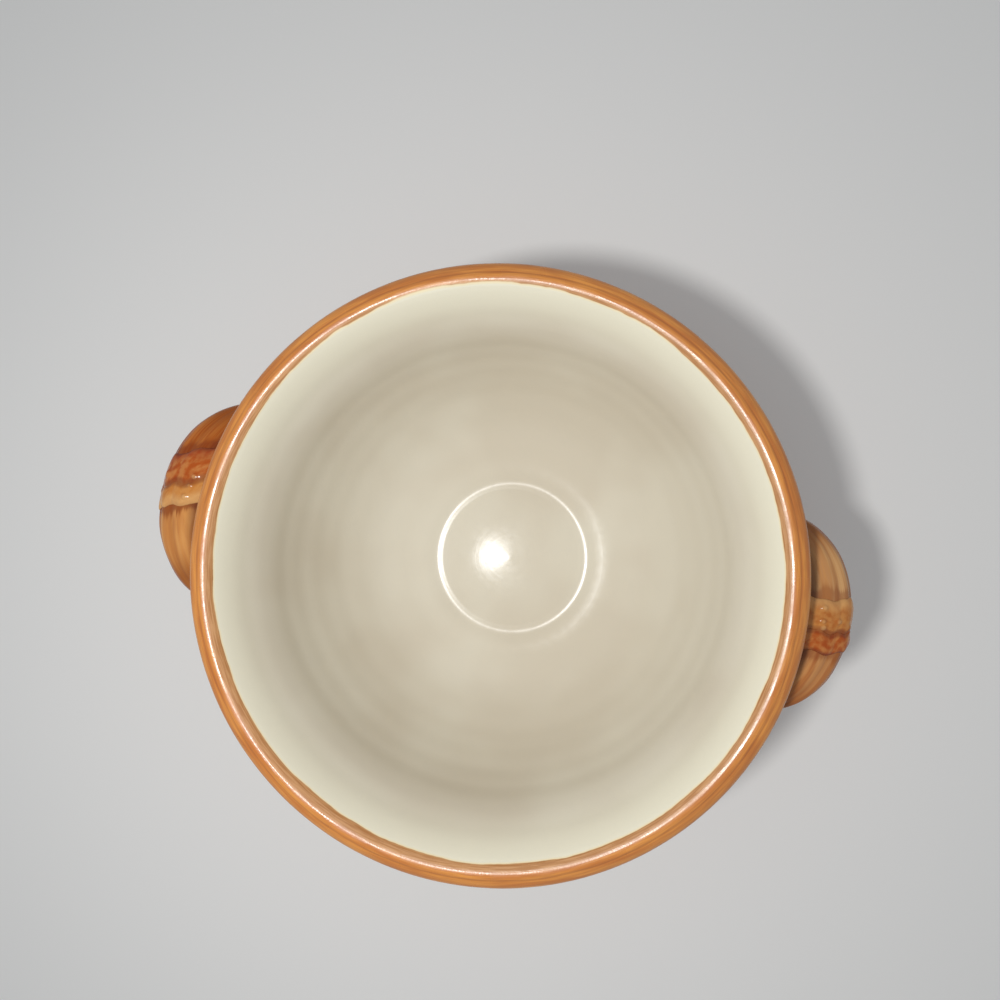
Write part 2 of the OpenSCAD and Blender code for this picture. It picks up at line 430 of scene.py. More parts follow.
# %% What differs between the lugs
Lug = namedtuple("Lug", "side forward length reach lean tie_middle tie_slant tie_share tie_roll seed")
right_hand = Lug(side=1, forward=3.0, length=42.8 * mm, reach=16.7 * mm, lean=-0.3, tie_middle=0,
                 tie_slant=-1.6, tie_share=0.9, tie_roll=0.75 * mm, seed=9.7)
left_hand = Lug(side=-1, forward=4.3, length=46.6 * mm, reach=longest_reach, lean=-1.4, tie_middle=0.5,
                tie_slant=4.5, tie_share=1, tie_roll=0.55 * mm, seed=3.1)


def half_angle_of(lug):
    """Half of a lug's length along the wall, as an angle about the bowl's axis."""
    return math.degrees(math.asin(lug.length / 2 / wall_r))


print("half angles:", [round(half_angle_of(lug), 1) for lug in (right_hand, left_hand)])


# %% Where a point of a lug lies
def fall_to_tips(u, power, root):
    """1 in the middle of a lug (u = 0), 0 at its tips (u = 1 and -1)."""
    return (1 - min(1, abs(u)) ** power) ** root


def squarish(value):
    """Pushes a sine or cosine outwards, so that the section is blunter than an ellipse."""
    return math.copysign(abs(value) ** section_bluntness, value)


def tie_centre(turn, lug):
    """The angle of the strap's middle, which moves with the slant from the nose to the root."""
    return lug.tie_middle + lug.tie_slant * (1 - squarish(abs(math.cos(math.radians(turn)))))


def tie_half(turn, lug):
    """Half of the strap's width as an angle. Its sides are parallel, so it grows to the root."""
    nearness_to_root = 1 - abs(math.cos(math.radians(turn)))
    return tie_half_angle * lug.tie_share * (1 + tie_widening * nearness_to_root)


def across_tie(angle, turn, lug):
    """0 in the middle of the strap, 1 and -1 at its edges."""
    return (angle - tie_centre(turn, lug)) / tie_half(turn, lug)


def tie_hold(angle, turn, lug):
    """1 under the middle of the tie, 0 from its edges on."""
    return max(0, 1 - across_tie(angle, turn, lug) ** 2)


def furrow_share(angle, turn, lug):
    """0 on the back of a stalk and 1 at the bottom of a furrow."""
    drift = stalk_drift_degrees * noise.noise(Vector((angle * 0.11, turn * 0.03, lug.seed)))
    return 1 - abs(math.sin(math.radians(stalk_count * (turn + drift)))) ** furrow_sharpness


def root_point(angle, turn, lug):
    """Radius and height of the lug's root line on the glazed wall."""
    fall = fall_to_tips(angle / half_angle_of(lug), power=root_power, root=0.5)
    z = lug_z + lug_height / 2 * fall * squarish(math.sin(math.radians(turn)))
    return Vector((radius_at(coat_curve, z) + root_gap, z))


def lug_point(angle, turn, lug):
    """Radius and height of the lug's surface."""
    fall = fall_to_tips(angle / half_angle_of(lug), power=2.2, root=0.6)
    out = Vector((math.cos(math.radians(turn)), math.sin(math.radians(turn))))
    lump = stalk_lump * noise.noise(Vector((angle * 0.2, turn * 0.04, lug.seed)))
    hold = tie_hold(angle, turn, lug)
    shallower = 1 - pressed_furrow_share * hold
    furrow = stalk_furrow * fall * shallower * furrow_share(angle, turn, lug)
    reach = lug.reach * fall * (1 - waist_share * hold)
    return (root_point(angle, turn, lug) + squarish(out.x) * Vector((reach, lug_lift * fall))
            + out * (out.x * lump - furrow))


def lug_place(point, angle, turn, lug):
    """The place of a section's point in space, with the lug's lean."""
    return round_the_axis(point, angle + lug.lean * max(0, squarish(math.cos(math.radians(turn)))))


def round_the_axis(point, angle):
    """The place of a radius and height at an angle about the bowl's axis."""
    a = math.radians(angle)
    return Vector((point.x * math.cos(a), point.x * math.sin(a), point.y))


# %% Sweep a section along the wall
def swept_section(points_round, stations, half_angle, layer_names):
    """A tube about the bowl's axis, whose layers hold each point's turn and its angle."""
    bm = bmesh.new()
    for name in ("turn", "along") + layer_names:
        bm.verts.layers.float.new(name)
    turn_layer, along_layer = bm.verts.layers.float["turn"], bm.verts.layers.float["along"]
    bmesh.ops.create_circle(bm, segments=points_round, radius=lug_height / 2)
    for v in bm.verts:
        v[turn_layer] = math.degrees(math.atan2(v.co.y, v.co.x))
        v.co = Vector((wall_r + v.co.x, 0, v.co.y))
    bmesh.ops.rotate(bm, verts=bm.verts[:], cent=(0, 0, 0),
                     matrix=Matrix.Rotation(math.radians(-half_angle), 3, "Z"))
    bmesh.ops.spin(bm, geom=bm.verts[:] + bm.edges[:], cent=(0, 0, 0), axis=(0, 0, 1),
                   dvec=(0, 0, 0), angle=math.radians(2 * half_angle), steps=stations)
    bmesh.ops.holes_fill(bm, edges=[e for e in bm.edges if e.is_boundary], sides=0)
    for v in bm.verts:
        v[along_layer] = math.degrees(math.atan2(v.co.y, v.co.x))
    return bm


def set_at_side(bm, lug):
    """Turns a part of a lug forward, and mirrors it to the left where side is -1."""
    bmesh.ops.rotate(bm, verts=bm.verts[:], cent=(0, 0, 0),
                     matrix=Matrix.Rotation(math.radians(lug.forward), 3, "Z"))
    bmesh.ops.scale(bm, vec=(lug.side, 1, 1), verts=bm.verts[:])
    bmesh.ops.recalc_face_normals(bm, faces=bm.faces[:])
    return bm


# %% [markdown]
# The glazes need to know where a point lies on the lug, so two more layers go with the
# mesh: how deep the point is in a furrow, and how close it is to the tie. Layers become
# attributes, which a material can read. The stations crowd together towards the tips,
# because the lug falls away fastest there, and they stop just short of them, so that the
# end sections are still rings.

# %% Make the lugs
even_share = 0.45
crowded_share = 0.55
kept_length_share = 0.999
pool_and_shade_degrees = 1.9


def make_lug(name, node, lug):
    half_angle = half_angle_of(lug)
    bm = swept_section(160, 150, half_angle, ("furrow", "near_tie"))
    turn_layer, along_layer, furrow_layer, near_layer = [
        bm.verts.layers.float[layer] for layer in ("turn", "along", "furrow", "near_tie")]
    for v in bm.verts:
        u = v[along_layer] / half_angle
        crowded = even_share * u + crowded_share * math.sin(math.pi / 2 * u)
        angle = half_angle * kept_length_share * crowded
        turn = v[turn_layer]
        if abs(turn) > 90:
            turn = math.copysign(180, turn) - turn
            v.co = round_the_axis(root_point(angle, turn, lug), angle)
        else:
            v.co = lug_place(lug_point(angle, turn, lug), angle, turn, lug)
        v[turn_layer], v[along_layer] = turn, angle
        v[furrow_layer] = furrow_share(angle, turn, lug)
        beyond_tie = (abs(across_tie(angle, turn, lug)) - 1) * tie_half(turn, lug)
        # The nearness to the tie feeds the pooled glaze and painted shade beside the strap.
        v[near_layer] = math.exp(-max(0, beyond_tie) / pool_and_shade_degrees)
    piece = finished_piece(name, set_at_side(bm, lug), sharp_degrees=75)
    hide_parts(node)
    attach(piece, "root")
    return piece


right_lug = make_lug("right_lug", "right_handle", right_hand)
left_lug = make_lug("left_lug", "left_handle", left_hand)

# %% [markdown]
# ## The ties
#
# A strap of clay goes twice round the middle of each bundle. In the photograph it makes
# two soft rolls with a groove between them, and small knuckles of clay along it catch
# the light. It is swept in the same way as the lug: its inner side is the lug's own
# surface, and its outer side stands proud of that by the strap's thickness.

# %% Thickness of the strap
strap_edge_thick = 0.04 * mm
groove_thick_share = 0.45
knuckle_steepness = 1.6


def strap_thickness(across, lug):
    """Two rolls with a groove between them, thinning out at the strap's edges."""
    from_groove = across - tie_groove_at
    roll_width = 1 - tie_groove_at if from_groove > 0 else 1 + tie_groove_at
    roll = abs(math.sin(math.pi * min(1, abs(from_groove) / roll_width) ** 0.9)) ** 0.6
    edge = (1 - min(1, abs(across)) ** 6) ** 0.5
    in_groove = groove_thick_share * lug.tie_roll
    return strap_edge_thick + in_groove * edge + (lug.tie_roll - in_groove) * roll


def knuckle_swell(point, knuckles):
    """How far the knuckles near a point lift the strap's surface."""
    swell = 0
    for middle, radius, height in knuckles:
        near = (point - middle).length / radius
        swell = max(swell, height * math.exp(-knuckle_steepness * near ** 3))
    return swell


# Knuckles: angle along the lug and turn round its section in degrees, radius and height in mm
knuckle_places = {
    right_hand: [(4.9, 66, 1.0, 0.3), (2.2, 69, 0.8, 0.4), (-0.1, 69, 0.7, 0.4), (-1.2, 68, 0.9, 0.4),
                 (0.2, 54, 0.8, 0.4), (-0.8, 30, 1.1, 0.3), (2.3, 10, 1.1, 0.3), (-1.2, -25, 1.1, 0.3)],
    left_hand: [(2.6, 70, 0.9, 0.4), (0.9, 68, 0.7, 0.35), (-1.3, 67, 0.8, 0.4), (-2.6, 64, 0.9, 0.25),
                (2.2, 36, 1.1, 0.3), (-0.5, 14, 1.1, 0.3), (2.0, -20, 1.1, 0.3)]}
print("knuckles:", [len(places) for places in knuckle_places.values()])


# %% Make the ties
tie_wander_degrees = 1.1
edge_fade_pace = 8
tallest_lump = 0.6 * mm


def make_tie(name, node, lug):
    knuckles = [(lug_place(lug_point(angle, turn, lug), angle, turn, lug), radius * mm, height * mm)
                for angle, turn, radius, height in knuckle_places[lug]]
    bm = swept_section(360, 90, tie_half_angle, ("groove", "lump"))
    turn_layer, along_layer, groove_layer, lump_layer = [
        bm.verts.layers.float[layer] for layer in ("turn", "along", "groove", "lump")]
    for v in bm.verts:
        across, turn = v[along_layer] / tie_half_angle, v[turn_layer]
        inner = abs(turn) > 90
        if inner:
            turn = math.copysign(180, turn) - turn
        wander = tie_wander_degrees * noise.noise(Vector((turn * 0.07, across * 0.6, lug.seed)))
        angle = tie_centre(turn, lug) + across * tie_half(turn, lug) + wander
        point = lug_point(angle, turn, lug)
        if not inner:
            swell = knuckle_swell(lug_place(point, angle, turn, lug), knuckles)
            thickness = strap_thickness(across, lug)
            out = Vector((math.cos(math.radians(turn)), math.sin(math.radians(turn))))
            point = point + (thickness + swell * min(1, edge_fade_pace * (1 - abs(across)))) * out
            point.x = max(point.x, radius_at(coat_curve, point.y) + root_gap)
            v[groove_layer] = 1 - thickness / lug.tie_roll
            v[lump_layer] = swell / tallest_lump
        v[turn_layer], v[along_layer] = turn, across
        v.co = lug_place(point, angle, turn, lug)
    piece = finished_piece(name, set_at_side(bm, lug), sharp_degrees=75)
    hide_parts(node)
    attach(piece, "root")
    return piece


right_tie = make_tie("right_tie", "right_handle_tie", right_hand)
left_tie = make_tie("left_tie", "left_handle_tie", left_hand)

# %% [markdown]
# ## The joints
#
# A lug is stuck on with slip, a paste of clay and water, and the potter smooths what
# squeezes out into a small hollow fillet. One loop of edges round the root is extruded
# step by step along a quarter circle, from the lug's side down to the wall, and then
# closed behind, where nobody sees it.

# %% Make the slip fillets
fillet_r = 1.2 * mm
fillet_steps = 7
fillet_spread_share = 0.9
fillet_back_share = 0.8


def root_loop_place(share, margin, height, lug):
    """A point of a loop round the lug's root, at a margin from it and a height over the wall."""
    a = 2 * math.pi * share
    across = math.copysign(abs(math.cos(a)) ** (2 / root_power), math.cos(a)) * (lug.length / 2 + margin)
    z = lug_z + (lug_height / 2 + margin) * math.sin(a)
    r = radius_at(coat_curve, z)
    return round_the_axis(Vector((r + height, z)), math.degrees(math.asin(across / r)))


def make_joint(name, node, lug):
    bm = bmesh.new()
    share_layer = bm.verts.layers.float.new("share")
    loop = bmesh.ops.create_circle(bm, segments=144, radius=lug_height / 2)["verts"]
    for v in loop:
        v[share_layer] = math.atan2(v.co.y, v.co.x) / (2 * math.pi)
    quarter = [math.pi / 2 * i / fillet_steps for i in range(fillet_steps + 1)]
    rows = [(fillet_r * (fillet_spread_share - math.cos(q)), fillet_r * (1 - math.sin(q)))
            for q in quarter]
    rows += [(fillet_r * fillet_back_share, -glaze_thick), (0, -glaze_thick)]
    edges = bm.edges[:]
    for i, (margin, height) in enumerate(rows):
        if i:
            grown = bmesh.ops.extrude_edge_only(bm, edges=edges)["geom"]
            loop = [g for g in grown if isinstance(g, bmesh.types.BMVert)]
            edges = [g for g in grown if isinstance(g, bmesh.types.BMEdge)]
        for v in loop:
            v.co = root_loop_place(v[share_layer], margin, height, lug)
    bmesh.ops.holes_fill(bm, edges=[e for e in bm.edges if e.is_boundary], sides=0)
    joint = finished_piece(name, set_at_side(bm, lug), sharp_degrees=60)
    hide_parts(node)
    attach(joint, "root")
    return joint


right_joint = make_joint("right_joint", "right_handle_slip", right_hand)
left_joint = make_joint("left_joint", "left_handle_slip", left_hand)

# %% [markdown]
# ## Recipes for glazes
#
# A glaze looks alive because its colour, its gloss and its surface all vary a little.
# Each glaze below is a recipe of shader nodes. Dozens of Math nodes are hard to read when
# they are wired one by one, so a small class stands for one wire of the graph, and
# Python's own signs build the nodes. That way a recipe reads like the sum that it is.


# %% One wire of a recipe
class Wire:
    """A value that varies over a surface. Sums with it add Math nodes to its recipe."""

    def __init__(self, recipe, socket):
        self.recipe, self.socket = recipe, socket

    def output(self, which):
        """Another output of the same node."""
        return Wire(self.recipe, self.socket.node.outputs[which])

    def sum_node(self, operation, first, second):
        return self.recipe.node("Math", {"operation": operation}, {0: first, 1: second})

    def __add__(self, other):
        return self.sum_node("ADD", self, other)

    def __radd__(self, other):
        return self.sum_node("ADD", other, self)

    def __sub__(self, other):
        return self.sum_node("SUBTRACT", self, other)

    def __rsub__(self, other):
        return self.sum_node("SUBTRACT", other, self)

    def __mul__(self, other):
        return self.sum_node("MULTIPLY", self, other)

    def __rmul__(self, other):
        return self.sum_node("MULTIPLY", other, self)

    def __truediv__(self, other):
        return self.sum_node("DIVIDE", self, other)

    def __pow__(self, other):
        return self.sum_node("POWER", self, other)


# %% [markdown]
# A recipe starts from the ready-made glazed shader that a new material has. Any node but
# a sum comes from its one method `node`, which takes the kind of node, its settings and
# the values or wires of its sockets. The short methods after it name the few things that
# every glaze needs: where a point is in millimetres, a soft step between two values, a
# cloudy pattern, a blend of two colours and a bump. The index of refraction is that of
# glass, which a glaze is.


# %% One recipe
glass_refraction = 1.52


class Recipe:
    """The nodes of one material, from places on the piece to colour, gloss and bump."""

    def __init__(self, name):
        self.material = bpy.data.materials.new(name)
        self.material.use_nodes = True
        self.shader = self.material.node_tree.nodes["Principled BSDF"]

    def node(self, kind, settings=None, sockets=None, output=0):
        """Adds a node: its settings first, then the values or wires of its sockets."""
        node = self.material.node_tree.nodes.new("ShaderNode" + kind)
        for setting, value in (settings or {}).items():
            setattr(node, setting, value)
        for name, value in (sockets or {}).items():
            self.feed(node.inputs[name], value)
        return Wire(self, node.outputs[output])

    def feed(self, socket, value):
        """Gives a socket a wire or a value."""
        if isinstance(value, Wire):
            self.material.node_tree.links.new(value.socket, socket)
        else:
            socket.default_value = value

    def places(self):
        """Where a point of the piece is: x, y and z in millimetres."""
        metres = self.node("TexCoord", output="Object")
        place = self.node("VectorMath", {"operation": "SCALE"}, {0: metres, "Scale": 1 / mm})
        x = self.node("SeparateXYZ", sockets={0: place})
        return x, x.output(1), x.output(2)

    def vector(self, x, y, z):
        return self.node("CombineXYZ", sockets={0: x, 1: y, 2: z})

    def larger(self, first, second):
        return self.node("Math", {"operation": "MAXIMUM"}, {0: first, 1: second})

    def step(self, value, low, high):
        """0 up to a low value, 1 from a high value on, and a soft step between them."""
        return self.node("MapRange", {"interpolation_type": "SMOOTHSTEP"},
                         {"Value": value, "From Min": low, "From Max": high})

    def clouds(self, place, scale=1.0, detail=2.0, low=0.35, high=0.65):
        """A cloudy pattern from 0 to 1."""
        cloud = self.node("TexNoise", sockets={"Vector": place, "Scale": scale, "Detail": detail})
        return self.step(cloud, low, high)

    def blend(self, share, first, second):
        """The first colour where the share is 0, the second where it is 1."""
        return self.node("Mix", {"data_type": "RGBA"}, {0: share, 6: first, 7: second}, output=2)

    def attribute(self, name):
        """A layer that the mesh carries."""
        return self.node("Attribute", {"attribute_name": name}, output="Fac")

    def finish(self, colour, roughness, height=None, depth=0.0, sheen=0.5):
        """Feeds the shader: colour, roughness, a bump of a depth in metres, strength of the sheen."""
        self.feed(self.shader.inputs["Base Color"], colour)
        self.feed(self.shader.inputs["Roughness"], roughness)
        self.shader.inputs["IOR"].default_value = glass_refraction
        self.shader.inputs["Specular IOR Level"].default_value = sheen
        if height is not None:
            bump = self.node("Bump", sockets={"Height": height, "Distance": depth})
            self.feed(self.shader.inputs["Normal"], bump)
        print(self.material.name, len(self.material.node_tree.nodes), "nodes")
        return self.material


def shown(red, green, blue):
    """The colour that shows on a screen as these values of 0 to 255."""
    shares = [channel / 255 for channel in (red, green, blue)]
    return tuple(s / 12.92 if s <= 0.04045 else ((s + 0.055) / 1.055) ** 2.4 for s in shares) + (1,)


# %% [markdown]
# ## Cream inside, brushed orange on the rim
#
# The rim was banded with a loaded brush while the crock turned on the wheel, over the
# cream. The brush left fine streaks that run round the rim, a thin brownish film on the
# slope inside the crest and a ragged lower edge, which sits highest at the far side. A
# darker line in the groove is painted shade, the roll's lower outside is painted darker as
# shade, and the cream high on the wall is painted paler as painted light. The edge crosses
# from the rim onto the cream coat, so one function makes both recipes. The streaks come
# from a cloudy pattern that is read on a ring: x and y divided by the radius repeat after
# one turn without a seam, and the height is stretched, which squeezes the clouds to lines.
#
# A recipe works in millimetres. Each pair below is where a soft step begins and ends.


# %% Where things lie on the mouth
roll_middle_r = 61.5
roll_middle_z = 68.5
painted_light_upper_wall = (57, 70)
shaded_outside = (70.6, 68.2)
groove_outer_bank = (2.1, 2.4)
groove_inner_bank = (2.75, 2.45)
film_start = (3.6, 4.4)
outside_of_crest = (61.5, 62)
paint_edge_z = 70.9
paint_edge_soft = (-0.1, 0.1)
paint_bleed = (-0.5, 0)


def ring_place(recipe, x, y, r, round_scale, across):
    """A place for patterns that run round the axis, with a value across them."""
    return recipe.vector(x / r * round_scale, y / r * round_scale, across)


# %% The banded mouth of the crock
def mouth_glaze(name, sheen):
    recipe = Recipe(name)
    x, y, z = recipe.places()
    place = recipe.vector(x, y, z)
    r = (x * x + y * y) ** 0.5
    inward = rim_r / mm - r

    cream = recipe.blend(recipe.clouds(place, 0.03), shown(215, 208, 191), shown(207, 198, 180))
    # Painted light: the cream is paler up the steep wall near the mouth, where the lamp lights it more.
    cream = recipe.blend(recipe.step(z, *painted_light_upper_wall), cream, shown(228, 223, 203))

    roll = recipe.node("Math", {"operation": "ARCTAN2"}, {0: z - roll_middle_z, 1: r - roll_middle_r})
    broad = recipe.clouds(ring_place(recipe, x, y, r, 5, roll * 3), detail=4)
    fine = recipe.clouds(ring_place(recipe, x, y, r, 12, roll * 13), detail=3)
    paint = recipe.blend(broad, shown(188, 114, 48), shown(208, 138, 62))
    paint = recipe.blend(fine * 0.4, paint, shown(158, 90, 44))
    paint = recipe.blend(recipe.step(z, *shaded_outside) * 0.65, paint, shown(148, 82, 38))
    # Painted shade: a darker line in the groove.
    groove = recipe.step(inward, *groove_outer_bank) * recipe.step(inward, *groove_inner_bank)
    paint = recipe.blend(groove * 0.4, paint, shown(136, 74, 34))
    film = recipe.blend(fine, shown(194, 150, 107), shown(170, 122, 79))
    paint = recipe.blend(recipe.step(inward, *film_start) * 0.8, paint, film)

    ragged = (recipe.clouds(ring_place(recipe, x, y, r, 4, 0), detail=4) - 0.5) * 0.35
    across, forward = x / r, y / r
    edge = (paint_edge_z + 0.06 * across + 0.46 * forward
            - 0.15 * (across * across - forward * forward) - 0.46 * across * forward + ragged)
    painted = recipe.larger(recipe.step(z - edge, *paint_edge_soft), recipe.step(r, *outside_of_crest))
    bled = recipe.blend(recipe.step(z - edge, *paint_bleed) * 0.5, cream, shown(238, 212, 150))
    colour = recipe.blend(painted, bled, paint)

    turning = recipe.clouds(recipe.vector(0, 0, (r - z) * 0.6), detail=2)
    skin = recipe.clouds(place, 0.5, 2)
    grain = recipe.clouds(place, 2.2, 2)
    wiped = recipe.clouds(ring_place(recipe, x, y, r, 7, 0), detail=3)
    height = skin * 0.4 + turning * 0.5 + (fine + grain) * painted * 0.8
    roughness = 0.15 + 0.04 * skin + painted * (0.05 + 0.14 * wiped)
    return recipe.finish(colour, roughness, height, depth=0.006 * mm, sheen=sheen)


liner.data.materials.append(mouth_glaze("poured_cream_glaze", sheen=0.13))
rim.data.materials.append(mouth_glaze("banded_rim_glaze", sheen=0.5))

# %% [markdown]
# ## The caramel coat
#
# The outside has the same colour in a thicker coat, dipped and then brushed level. It lies
# in broad bands round the wall with faint marks of the brush, runs down a little in a few
# places near the foot and gathers in a dark roll at its lower edge.


# %% The outside of the wall
run_heights = (34, 12)
edge_roll_heights = (7.2, 5.4)


def caramel_glaze():
    recipe = Recipe("brushed_caramel_glaze")
    x, y, z = recipe.places()
    r = (x * x + y * y) ** 0.5
    place = recipe.vector(x, y, z)
    bands = recipe.clouds(ring_place(recipe, x, y, r, 3, z * 0.15), detail=3, low=0.3, high=0.7)
    brushed = recipe.clouds(ring_place(recipe, x, y, r, 7, z * 0.9), detail=4, low=0.35, high=0.75)
    mottle = recipe.clouds(place, 0.3, 4)
    runs = recipe.clouds(ring_place(recipe, x, y, r, 9, z * 0.02), detail=2, low=0.5, high=0.8)
    runs = runs * recipe.step(z, *run_heights)
    colour = recipe.blend(bands, shown(180, 106, 50), shown(198, 126, 62))
    colour = recipe.blend(brushed * 0.22, colour, shown(158, 88, 40))
    colour = recipe.blend(mottle * 0.25, colour, shown(206, 138, 76))
    colour = recipe.blend(runs * 0.35, colour, shown(132, 68, 32))
    colour = recipe.blend(recipe.step(z, *edge_roll_heights) * 0.75, colour, shown(96, 50, 26))
    skin = recipe.clouds(place, 0.9, 3)
    height = skin * 0.5 + mottle + brushed * 0.5
    return recipe.finish(colour, 0.1 + 0.05 * skin + 0.06 * mottle, height, depth=0.01 * mm)


coat.data.materials.append(caramel_glaze())

# %% [markdown]
# ## Bare clay
#
# Where there is no glaze the stoneware is buff and matt, with iron specks that bled in the
# kiln and fine scratches from turning. The specks come from cells: only a cell's very
# middle is dark, and a second pattern keeps most cells plain.


# %% The base and the foot
speck_radii = (0.24, 0.1)


def bare_clay(name, light, dark, scratch_pitch):
    recipe = Recipe(name)
    x, y, z = recipe.places()
    place = recipe.vector(x, y, z)
    r = (x * x + y * y) ** 0.5
    mottle = recipe.clouds(place, 0.16, 4)
    grain = recipe.clouds(place, 2.2, 3)
    cells = recipe.node("TexVoronoi", sockets={"Vector": place, "Scale": 0.9}, output="Distance")
    kept = recipe.clouds(place, 0.5, 0, 0.52, 0.6)
    specks = recipe.step(cells, *speck_radii) * kept
    scratches = recipe.clouds(ring_place(recipe, x, y, r, 4, (r - z) / scratch_pitch), detail=3)
    colour = recipe.blend(mottle, shown(*light), shown(*dark))
    colour = recipe.blend(scratches * 0.25, colour, shown(*dark))
    colour = recipe.blend(specks * 0.85, colour, shown(96, 62, 40))
    height = grain + scratches * 1.4 - specks
    return recipe.finish(colour, 0.72 + 0.16 * grain, height, depth=0.05 * mm)


base_clay = bare_clay("turned_base_clay", light=(206, 178, 138), dark=(190, 158, 116), scratch_pitch=0.5)
foot_clay = bare_clay("wiped_foot_clay", light=(212, 186, 148), dark=(196, 164, 122), scratch_pitch=0.35)
clay.data.materials.append(base_clay)
foot.data.materials.append(foot_clay)

# %% [markdown]
# ## The stalks
#
# The lugs carry the same orange, but thinner: it was brushed along the stalks and wiped,
# so the furrows stay dark and the backs of the stalks break to tan. Beside the strap the
# stalks are darker in short dark tongues, pooled glaze and painted shade together. The nose
# and the underside are painted darker as shade, and the top next to the wall carries a
# painted shadow of the rim. The mesh carries how far round the section and how far along
# the lug each point is, so that the streaks follow the stalks wherever these bend. Both are
# angles in degrees, and the pairs are soft steps again.


# %% The glaze on the stalks
tip_distances_squared = (90, 260)
painted_shade_nose_turns = (40, 12)
painted_shade_under_turns = (-35, -5)
painted_rim_shadow_turns = (66, 80)
pooled_and_shaded_nearness = (0.3, 0.62)


def stalk_glaze(name, seed, tan_colour, tan_end, tan_share, pooled_and_shaded_share):
    recipe = Recipe(name)
    turn, along = recipe.attribute("turn"), recipe.attribute("along")
    furrow, near_tie = recipe.attribute("furrow"), recipe.attribute("near_tie")
    broad = recipe.clouds(recipe.vector(turn * 0.05, along * 0.12, seed), detail=3)
    streak_place = recipe.vector(turn * 0.09, along * 0.07, seed + 5)
    streaks = recipe.clouds(streak_place, detail=4, low=0.42, high=0.6)
    fine = recipe.clouds(recipe.vector(turn * 0.5, along * 0.1, seed + 9), detail=2)
    tan = recipe.larger(recipe.step(along, *tan_end) * 0.9, tan_share)
    colour = recipe.blend(broad, shown(152, 70, 6), shown(176, 92, 14))
    colour = recipe.blend(tan, colour, shown(*tan_colour))
    colour = recipe.blend(streaks * (0.7 - tan * 0.35), colour, shown(146, 64, 6))
    colour = recipe.blend(fine * 0.25, colour, shown(206, 142, 66))
    colour = recipe.blend(furrow * 0.25, colour, shown(112, 46, 6))
    tips = recipe.step(along * along, *tip_distances_squared)
    colour = recipe.blend(tips * 0.75, colour, shown(132, 66, 14))
    # Painted shade: the stalks darken towards the nose, and more on the underside.
    painted_shade_outer = recipe.step(turn, *painted_shade_nose_turns) * (0.35 + 0.45 * recipe.step(turn, *painted_shade_under_turns))
    colour = recipe.blend(painted_shade_outer, colour, shown(142, 64, 8))
    # Pooled glaze and painted shade: darker beside the strap, where it meets the stalks.
    pooled_and_painted_shade = recipe.step(near_tie + (streaks + fine - 1) * 0.16, *pooled_and_shaded_nearness)
    colour = recipe.blend(pooled_and_painted_shade * pooled_and_shaded_share, colour, shown(118, 46, 8))
    # Painted shadow: the top of the lug next to the wall is darkened where the rim's shadow falls.
    colour = recipe.blend(recipe.step(turn, *painted_rim_shadow_turns) * 0.8, colour, shown(78, 30, 14))
    height = fine * 0.6 + streaks
    return recipe.finish(colour, 0.26 - 0.08 * streaks, height, depth=0.02 * mm, sheen=0.22)


right_stalks = stalk_glaze("right_stalk_glaze", seed=2.0, tan_colour=(206, 164, 112), tan_end=(-8, 6),
                           tan_share=0.5, pooled_and_shaded_share=0.45)
left_stalks = stalk_glaze("left_stalk_glaze", seed=7.0, tan_colour=(204, 146, 84), tan_end=(4, -6),
                          tan_share=0.1, pooled_and_shaded_share=0.7)
right_lug.data.materials.append(right_stalks)
left_lug.data.materials.append(left_stalks)

# %% [markdown]
# ## The straps and the joints
#
# On the straps the colour is darker in the groove and along one edge, pooled glaze and
# painted shade together. The other edge was wiped pale, and the knuckles stand out of the
# colour almost bare. Across a strap the values run from -1 to 1, and one of its two rolls
# is more orange than the other.


# %% The glaze on the ties
groove_squared = (0.04, 0.002)
thin_strap = (0.15, 0.55)
upper_edge = (0.5, 0.85)
high_lump = (0.35, 0.8)


def tie_glaze(name, seed, orange_roll, upper_edge_share, pale_edge, pale_share):
    recipe = Recipe(name)
    x, y, z = recipe.places()
    turn, across = recipe.attribute("turn"), recipe.attribute("along")
    groove, lump = recipe.attribute("groove"), recipe.attribute("lump")
    patches = recipe.clouds(recipe.vector(turn * 0.06, across * 1.4, seed), detail=3)
    fine = recipe.clouds(recipe.vector(turn * 0.15, across * 3.5, seed + 4), detail=3)
    from_groove = across - tie_groove_at
    pale = recipe.step(across, *pale_edge) * pale_share
    # Pooled glaze and painted shade: darker in the groove and at the strap's thin edges.
    pooled_and_painted_shade = recipe.larger(recipe.step(from_groove * from_groove, *groove_squared) * 0.8,
                           recipe.step(groove, *thin_strap) * (1 - pale))
    colour = recipe.blend(recipe.step(across, *orange_roll), shown(184, 116, 48), shown(164, 74, 10))
    colour = recipe.blend(patches * 0.5, colour, shown(142, 60, 10))
    colour = recipe.blend(fine * 0.4, colour, shown(204, 148, 82))
    dark_edge = recipe.step(across, *upper_edge) * upper_edge_share
    colour = recipe.blend(dark_edge, colour, shown(140, 46, 12))
    colour = recipe.blend(pooled_and_painted_shade * (0.6 + patches * 0.3), colour, shown(112, 42, 10))
    colour = recipe.blend(pale * (1 - patches * 0.4), colour, shown(214, 168, 108))
    colour = recipe.blend(recipe.step(lump, *high_lump) * 0.5, colour, shown(210, 168, 112))
    skin = recipe.clouds(recipe.vector(x, y, z), 0.7, 2)
    return recipe.finish(colour, 0.15 + 0.08 * skin, patches, depth=0.02 * mm, sheen=0.32)


right_strap = tie_glaze("right_tie_glaze", seed=3.0, orange_roll=(-0.08, -0.32), upper_edge_share=0.1,
                        pale_edge=(0.5, 0.85), pale_share=0.5)
left_strap = tie_glaze("left_tie_glaze", seed=8.0, orange_roll=(-0.32, -0.08), upper_edge_share=0.5,
                       pale_edge=(-0.5, -0.85), pale_share=0.8)
right_tie.data.materials.append(right_strap)
left_tie.data.materials.append(left_strap)

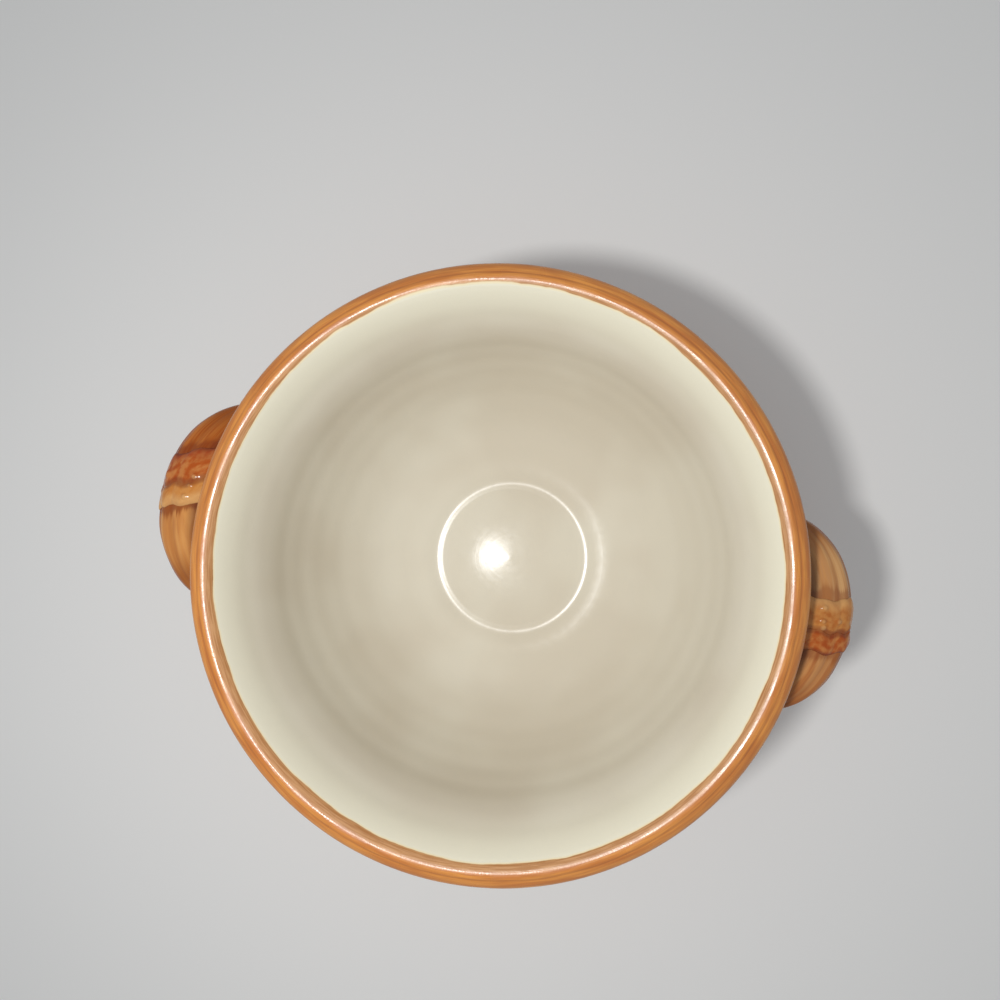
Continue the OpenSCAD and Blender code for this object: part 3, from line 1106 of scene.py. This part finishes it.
# %% [markdown]
# The slip under the lugs is darker and less glossy than the coats beside it, because the
# glaze lies thin there and the brown paste shows through.


# %% The slip round the lugs
def slip_glaze():
    recipe = Recipe("slip_glaze")
    x, y, z = recipe.places()
    mottle = recipe.clouds(recipe.vector(x, y, z), 0.5, 4)
    colour = recipe.blend(mottle, shown(104, 50, 22), shown(144, 80, 36))
    return recipe.finish(colour, 0.3 + 0.15 * mottle, mottle, depth=0.05 * mm, sheen=0.3)


joint_glaze = slip_glaze()
right_joint.data.materials.append(joint_glaze)
left_joint.data.materials.append(joint_glaze)

# %% [markdown]
# ## Floor and light
#
# The crock stands on a plain pale floor under one round softbox close to the lens. It
# draws a bright line round the rim and a round spot on the bottom of the bowl, as the
# photograph's lamp did. A pale sky all round fills the shadows.

# %% Lay the floor
floor_width = 4
floor_roughness = 0.9

floor_mesh = bmesh.new()
bmesh.ops.create_grid(floor_mesh, x_segments=1, y_segments=1, size=floor_width / 2)
floor = finished_piece("floor", floor_mesh)
floor.data.materials.append(Recipe("pale_paper").finish(shown(226, 225, 222), floor_roughness))

# %% Hang the lamp and the sky
lamp_width = 26 * mm
lamp_watts = 0.4
lamp_from_lens = Vector((-55, -38, 60)) * mm
sky_colour = (0.93, 0.96, 1.0, 1)
sky_strength = 0.48

lamp_data = bpy.data.lights.new("round_softbox", "AREA")
lamp_data.shape = "DISK"
lamp_data.size = lamp_width
lamp_data.energy = lamp_watts
lamp = bpy.data.objects.new("round_softbox", lamp_data)
lamp.location = camera_place + lamp_from_lens
lamp.rotation_euler = (lamp.location - Vector((0, 0, seat_z))).to_track_quat("Z", "Y").to_euler()
bpy.context.scene.collection.objects.link(lamp)

sky = bpy.data.worlds.new("pale_sky")
sky.use_nodes = True
sky.node_tree.nodes["Background"].inputs["Color"].default_value = sky_colour
sky.node_tree.nodes["Background"].inputs["Strength"].default_value = sky_strength
bpy.context.scene.world = sky
bpy.context.scene.view_settings.view_transform = "Standard"
print("lamp", round(lamp.location.length / mm), "mm from the foot's middle")
